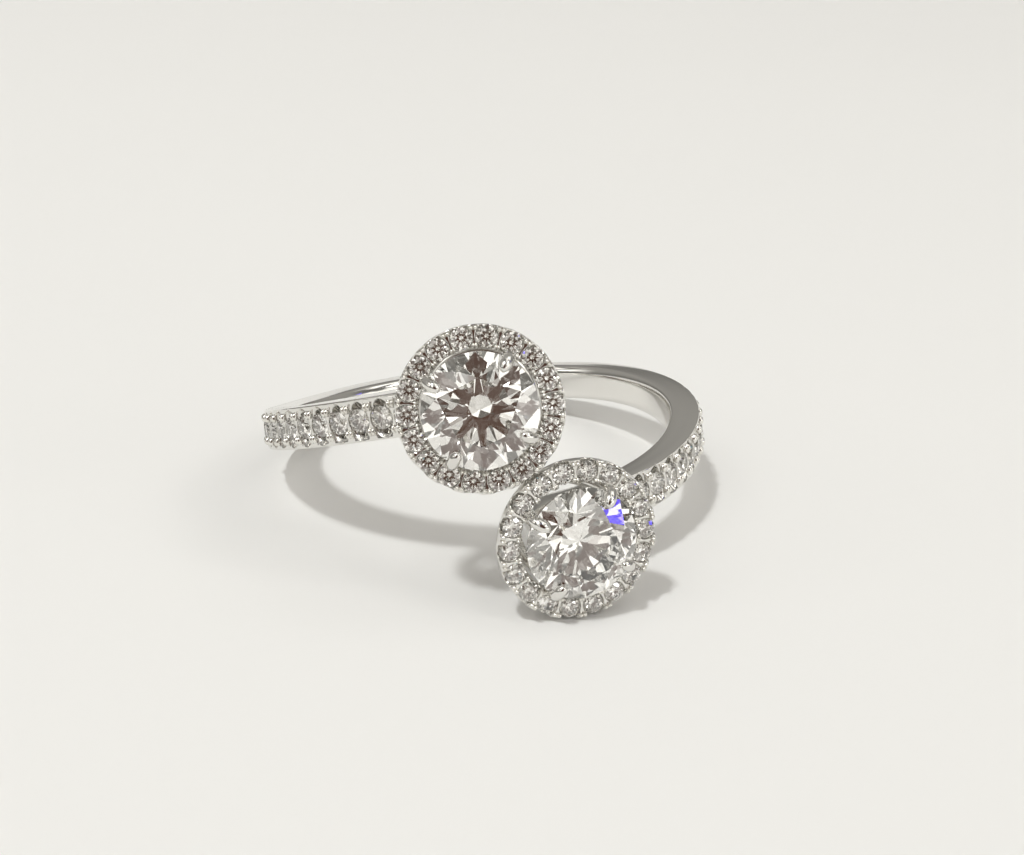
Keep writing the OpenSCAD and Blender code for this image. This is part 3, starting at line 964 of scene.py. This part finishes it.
def noise(tree, place, scale, detail, squeeze=None):
    """Noise of a scale per unit of place, squeezed along the axes by three factors."""
    if squeeze:
        place = Wire.node(tree, "ShaderNodeMapping", {}, {"Vector": place, "Scale": squeeze})
    sockets = {"Vector": place, "Scale": scale, "Detail": detail}
    return Wire.node(tree, "ShaderNodeTexNoise", {}, sockets)


def add_shader(tree, sockets):
    """Makes the material's shader with these sockets and wires it to the output."""
    shader = Wire.node(tree, "ShaderNodeBsdfPrincipled", {}, sockets)
    Wire.node(tree, "ShaderNodeOutputMaterial", {}, {"Surface": shader})


# Patterns in the gold: grains per millimetre, detail, and squeeze along the axes
RUB_MARKS = (0.45, 4.0)
FINE_GRAIN = (9.0, 2.0)
LINES = (3.0, 4.0, (1.0, 1.0, 14.0))
HAIRLINES = (4.0, 3.0, (12.0, 1.5, 1.0))
# Noise over which rub marks and lines set in, and what they add to the roughness
RUB_FROM, LINES_FROM = (0.35, 0.7), (0.55, 0.75)
RUB_ROUGH, LINES_ROUGH = 0.03, 0.05
# Share of each pattern in the bump, the bump's strength and its depth
GRAIN_BUMP, LINES_BUMP, HAIR_BUMP = 0.35, 0.4, 0.4
BUMP_STRENGTH, BUMP_DEPTH = 0.04, 0.02 * MM


def white_gold(name):
    """Polished white gold: a mirror with faint rub marks and hairline scratches.

    The rub marks are patches some 2 mm across, and change colour and polish. The scratches
    run two ways, and with a fine grain they make the bump. Painted shade darkens the gold
    where the mesh's sunk share says, deeper in the cuts and beside the stones. The beads
    are burnished by a hollow tool and a little softer, and their lighter gold
    is a painted highlight.
    """
    if name in bpy.data.materials:
        return bpy.data.materials[name]
    look = bpy.context.scene.toi_et_moi.finish
    # Painted highlight: the beads take the lighter bead colour
    bead = name == "bead_gold_painted_highlight"
    clean, worn = (look.bead, look.gold) if bead else (look.gold, look.gold_shade)
    polish = look.bead_polish if bead else look.polish
    made, tree, place = new_material(name)
    rub = noise(tree, place, *RUB_MARKS).between(*RUB_FROM)
    grain = noise(tree, place, *FINE_GRAIN)
    lines = noise(tree, place, *LINES)
    hair = noise(tree, place, *HAIRLINES)
    rough = rub * RUB_ROUGH + lines.between(*LINES_FROM) * LINES_ROUGH + polish
    height = grain * GRAIN_BUMP + lines * LINES_BUMP + hair * HAIR_BUMP
    bump = Wire.node(tree, "ShaderNodeBump", {}, {
        "Strength": BUMP_STRENGTH, "Distance": BUMP_DEPTH, "Height": height})
    # Painted shade: the sunk share mixes the darker gold in
    sunk = Wire.node(tree, "ShaderNodeAttribute", {"attribute_name": "sunk"}, {}, "Fac")
    tone = sunk.mix(rub.mix(clean, worn), look.gold_painted_shade)
    add_shader(tree, {"Base Color": tone, "Metallic": 1.0, "Roughness": rough,
                      "Normal": bump})
    return made


# Cells of painted shade per millimetre in the stones, and the shares over which it sets in
MAIN_GRAINS = 2.5
SMALL_GRAINS = 5.0
SHADE_FROM = (0.3, 0.7)


def diamond(name, shade, grains):
    """Near colourless diamond: clear glass of a high index.

    Cells, so many to the millimetre, each with its own share of the shade's colour, stand
    for the light and shade that the facets throw on each other.
    """
    look = bpy.context.scene.toi_et_moi.finish
    made, tree, place = new_material(name)
    cells = Wire.node(tree, "ShaderNodeTexVoronoi", {}, {"Vector": place, "Scale": grains},
                      "Color")
    pick = Wire.node(tree, "ShaderNodeSeparateXYZ", {}, {"Vector": cells}, "X")
    tone = pick.between(*SHADE_FROM).mix(look.diamond, shade)
    add_shader(tree, {"Base Color": tone, "Roughness": 0.0, "IOR": look.ior,
                      "Transmission Weight": 1.0})
    return made


class RING_OT_stones(bpy.types.Operator):
    """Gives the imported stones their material"""

    bl_idname = "ring.stones"
    bl_label = "Stones"

    def execute(self, context):
        look = context.scene.toi_et_moi.finish
        kinds = ((MAIN_STONES, diamond("main_diamond", look.main_shade, MAIN_GRAINS)),
                 (SMALL_STONES, diamond("small_diamond", look.small_shade, SMALL_GRAINS)))
        for nodes, material in kinds:
            for node in nodes:
                mesh = frame["nodes"][node].data
                mesh.materials.clear()
                mesh.materials.append(material)
        return {"FINISHED"}


# Stage

LIGHTS = {
    # name: place in mm, width and depth in mm, watts, colour
    "key": ((-304, -272, 820), (74, 74), 3.3, (0.985, 1.0, 0.99)),
    "side": ((660, -420, 740), (120, 120), 0.6, (1.0, 0.985, 0.95)),
}
# Azimuth from -Y to -X and elevation of each small lamp, in degrees
GLINTS = ((-60, 33), (-47, 14), (-30, 70), (-9, 60), (38, 14), (60, 64), (71, 22), (88, 50))
GLINT_RADIANCE = (8.0, 7.9, 7.6)
# Cosines of the angles from its middle at which a lamp's edge starts and is full
GLINT_REACH = (0.9991, 0.9997)
# The same for the coloured ones, each with its radiance
FIRES = (
    ((-81.4, 18.5), (0.5, 0.35, 5.0)),
    ((-21, 13), (0.9, 2.0, 2.4)),
    ((19, 58), (0.6, 0.45, 3.2)),
    ((47, 38), (0.8, 1.8, 2.2)),
)
FIRE_REACH = (0.9997, 0.99988)
# Radiance of the wall at the floor's level and above, of shade and light behind the
# camera, and of the camera's own dark shape
WALL_LOW, WALL_HIGH = (0.185, 0.179, 0.165), (0.35, 0.339, 0.314)
PATCH_DARK, PATCH_LIT = (0.15, 0.144, 0.131), (1.62, 1.585, 1.505)
CAMERA_DARK = (0.085, 0.045, 0.032)
# Cosines of the angles over which each sets in: from straight up for the wall, and from
# the middle of the patches and of the camera
WALL_RISE, PATCH_REACH, CAMERA_REACH = (0.0, 0.4), (0.1, 0.45), (0.86, 0.93)
PATCH_MIDDLE = (0, -0.8, 0.6)
# Scale and detail of the patches' noise, and the noise over which dark goes to lit
PATCH_NOISE, PATCH_EDGE = (3.0, 1.0), (0.47, 0.55)
# Radius of the floor's disc, its middle along Y, and the points round it
FLOOR_R, FLOOR_Y, FLOOR_POINTS = 0.27, -0.1, 96
# Scale and detail of the floor's mottling, and its colour as a share of the floor's
MOTTLE_NOISE, MOTTLE = (0.02, 3.0), 0.985


def view_axes(studio):
    """Right, up and forward of the camera from its azimuth, dip and roll."""
    az, dip, roll = studio.camera_azimuth, studio.camera_dip, studio.camera_roll
    forward = np.array([math.sin(az) * math.cos(dip), math.cos(az) * math.cos(dip),
                        -math.sin(dip)])
    level = np.array([math.cos(az), -math.sin(az), 0])
    rise = np.cross(level, forward)
    right = math.cos(roll) * level + math.sin(roll) * rise
    return right, np.cross(right, forward), forward


def add_camera(studio):
    """The camera, placed by its axes; the scene looks through it."""
    data = bpy.data.cameras.new("camera")
    data.lens, data.sensor_width = studio.lens, 36.0
    data.clip_start, data.clip_end = 1 * MM, 20.0
    camera = bpy.data.objects.new("camera", data)
    right, up, forward = view_axes(studio)
    turn = Matrix(np.stack([right, up, -forward], 1).tolist()).to_4x4()
    camera.matrix_world = Matrix.Translation(Vector(studio.camera_at)) @ turn
    bpy.context.scene.collection.objects.link(camera)
    bpy.context.scene.camera = camera


def add_lights():
    """Soft area lights, each turned to the middle of the ring."""
    for name, (place, size, watts, tint) in LIGHTS.items():
        data = bpy.data.lights.new(name, "AREA")
        data.shape = "RECTANGLE"
        data.size, data.size_y = size[0] * MM, size[1] * MM
        data.energy, data.color = watts, tint
        light = bpy.data.objects.new(name, data)
        light.location = Vector(place) * MM
        light.rotation_euler = (-light.location).to_track_quat("-Z", "Y").to_euler()
        bpy.context.scene.collection.objects.link(light)


def floor_material(tint):
    """Matt white board with a trace of mottling."""
    made, tree, place = new_material("floor_board")
    mottle = noise(tree, place, *MOTTLE_NOISE)
    tone = mottle.mix(tint, [c * MOTTLE for c in tint])
    add_shader(tree, {"Base Color": tone, "Roughness": 0.9, "Specular IOR Level": 0.1})
    return made


def add_floor(studio):
    """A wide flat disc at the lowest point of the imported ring, most of it in front."""
    rim = on_circle(FLOOR_R, around(FLOOR_POINTS), cad_box[0].z) + [0, FLOOR_Y, 0]
    mesh = bpy.data.meshes.new("floor")
    mesh.from_pydata(rim.tolist(), [], [list(range(len(rim)))])
    mesh.materials.append(floor_material(tuple(studio.floor)))
    floor = bpy.data.objects.new("floor", mesh)
    bpy.context.scene.collection.objects.link(floor)


def add_surroundings(studio):
    """The room: an even wall ahead, and patches of light and shade behind the camera.

    Small lamps stand in it for glints, and the dark shape of the camera. Each part is
    mixed in by the cosine of the angle between the direction seen and its own.
    """
    world = bpy.data.worlds.new("room")
    bpy.context.scene.world = world
    world.use_nodes = True
    tree = world.node_tree
    tree.nodes.clear()
    way = Wire.node(tree, "ShaderNodeTexCoord", {}, {}, "Generated")

    def along(direction):
        """Share of the direction seen that lies along another."""
        sockets = {0: way, 1: tuple(direction)}
        settings = {"operation": "DOT_PRODUCT"}
        return Wire.node(tree, "ShaderNodeVectorMath", settings, sockets, "Value")

    wall = along((0, 0, 1)).between(*WALL_RISE).mix(WALL_LOW, WALL_HIGH)
    patches = noise(tree, way, *PATCH_NOISE).between(*PATCH_EDGE).mix(PATCH_DARK, PATCH_LIT)
    room = along(PATCH_MIDDLE).between(*PATCH_REACH).mix(wall, patches)
    lamps = [(place, GLINT_RADIANCE, GLINT_REACH) for place in GLINTS]
    lamps += [(place, radiance, FIRE_REACH) for place, radiance in FIRES]
    for (azimuth, elevation), radiance, reach in lamps:
        turn = rotation("X", -elevation) @ np.array([0, -1.0, 0])
        spot = along(rotation("Z", -azimuth) @ turn).between(*reach)
        room = spot.mix(room, radiance)
    dark = along(-view_axes(studio)[2]).between(*CAMERA_REACH)
    shown = dark.mix(room, CAMERA_DARK)
    light = Wire.node(tree, "ShaderNodeBackground", {}, {"Color": shown, "Strength": 1.0})
    Wire.node(tree, "ShaderNodeOutputWorld", {}, {"Surface": light})


class RING_OT_stage(bpy.types.Operator):
    """Adds the floor, the lights, the room and the camera"""

    bl_idname = "ring.stage"
    bl_label = "Stage"

    def execute(self, context):
        scene = context.scene
        studio = scene.toi_et_moi.studio
        add_camera(studio)
        add_floor(studio)
        add_lights()
        add_surroundings(studio)
        scene.view_settings.view_transform = "Standard"
        scene.cycles.max_bounces = 24
        scene.cycles.transmission_bounces = 20
        scene.cycles.glossy_bounces = 10
        scene.cycles.diffuse_bounces = 4
        return {"FINISHED"}


STEPS = (RING_OT_shank, RING_OT_halos, RING_OT_bases, RING_OT_prongs, RING_OT_beads,
         RING_OT_stones, RING_OT_stage)


class RING_PT_panel(bpy.types.Panel):
    """Lists the steps that dress the ring"""

    bl_idname = "RING_PT_panel"
    bl_label = "Toi et Moi Ring"
    bl_space_type = "VIEW_3D"
    bl_region_type = "UI"
    bl_category = "Ring"

    def draw(self, context):
        for step in STEPS:
            self.layout.operator(step.bl_idname)


CLASSES = (ShankSizes, HeadSizes, StoneSizes, ProngSizes, Finishes, StudioSizes,
           RingProperties, *STEPS, RING_PT_panel)


def register():
    for each in CLASSES:
        bpy.utils.register_class(each)
    bpy.types.Scene.toi_et_moi = PointerProperty(type=RingProperties)


def unregister():
    del bpy.types.Scene.toi_et_moi
    for each in reversed(CLASSES):
        bpy.utils.unregister_class(each)


def main():
    register()
    bpy.ops.ring.shank()
    bpy.ops.ring.halos()
    bpy.ops.ring.bases()
    bpy.ops.ring.prongs()
    bpy.ops.ring.beads()
    bpy.ops.ring.stones()
    bpy.ops.ring.stage()


if __name__ == "__main__":
    main()
